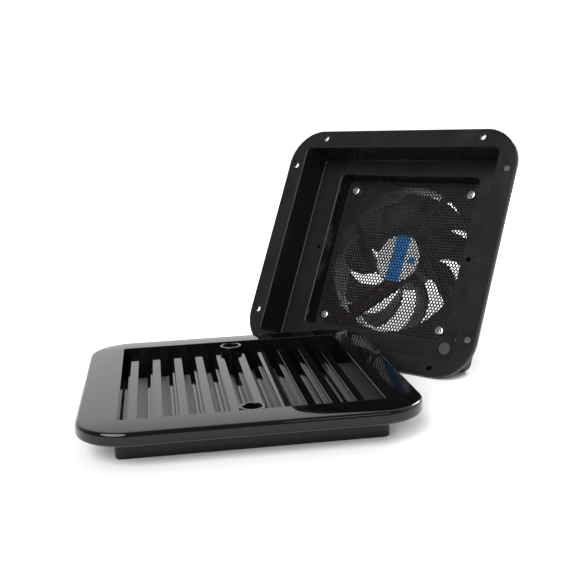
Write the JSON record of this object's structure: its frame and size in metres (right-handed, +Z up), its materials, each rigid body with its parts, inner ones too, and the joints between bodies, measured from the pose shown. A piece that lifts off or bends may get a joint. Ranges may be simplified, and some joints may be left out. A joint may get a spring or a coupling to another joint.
{
  "type": "vent fan with louvred cover",
  "caption": "Roof vent fan in two halves: a square flanged housing with a mesh-guarded axial fan, leaning back, and its gloss black louvred cover lying flat in front.",
  "frame": {"origin": "centre of the bounding box's bottom, on the floor under the two halves", "axes": "+Z up from the floor, +X along the cover's front edge, +Y away from that edge, towards the leaning housing"},
  "size_m": [0.3078, 0.2996, 0.163],
  "materials": {
    "housing_plastic": "satin",
    "cover_plastic": "mirror gloss",
    "fan_plastic": "satin",
    "mesh_steel": "black coated",
    "screw_steel": "bright",
    "plug_rubber": "matt",
    "label_paper": "printed, white with a blue band",
    "board": "solder mask",
    "lamination_steel": "stamped",
    "insulator_plastic": "natural",
    "copper_wire": "enamelled copper",
    "bearing_bronze": "sintered",
    "washer_plastic": "natural",
    "yoke_steel": "plated",
    "magnet_ferrite": "bonded ferrite",
    "shaft_steel": "ground",
    "clip_plastic": "natural",
    "lead_red_pvc": "satin",
    "lead_black_pvc": "satin"
  },
  "bodies": {
    "housing": {"housing_casing": "housing_plastic", "ledge_plug": "plug_rubber", "mesh_guard": "mesh_steel", "guard_screws": "screw_steel", "fan_frame": "fan_plastic", "hub_label": "label_paper", "circuit_board": "board", "stator_core": "lamination_steel", "stator_insulator": "insulator_plastic", "stator_coils": "copper_wire", "bearing_front": "bearing_bronze", "bearing_rear": "bearing_bronze", "thrust_washer": "washer_plastic", "lead_red": "lead_red_pvc", "lead_black": "lead_black_pvc"},
    "impeller": {"impeller": "fan_plastic", "rotor_yoke": "yoke_steel", "rotor_magnet": "magnet_ferrite", "rotor_shaft": "shaft_steel", "retaining_clip": "clip_plastic"},
    "louvre_cover": {"louvre_cover": "cover_plastic"}
  },
  "joints": [
    {"name": "impeller_spin", "type": "hinge", "parent": "housing", "child": "impeller", "pos_m": [0.08737, 0.0811, 0.06013], "axis": [-0.6755, -0.5929, 0.4384], "continuous": true},
    {"name": "cover_lift", "type": "slide", "parent": "housing", "child": "louvre_cover", "axis": [0, 0, 1], "range_m": [0, 0.15]}
  ]
}
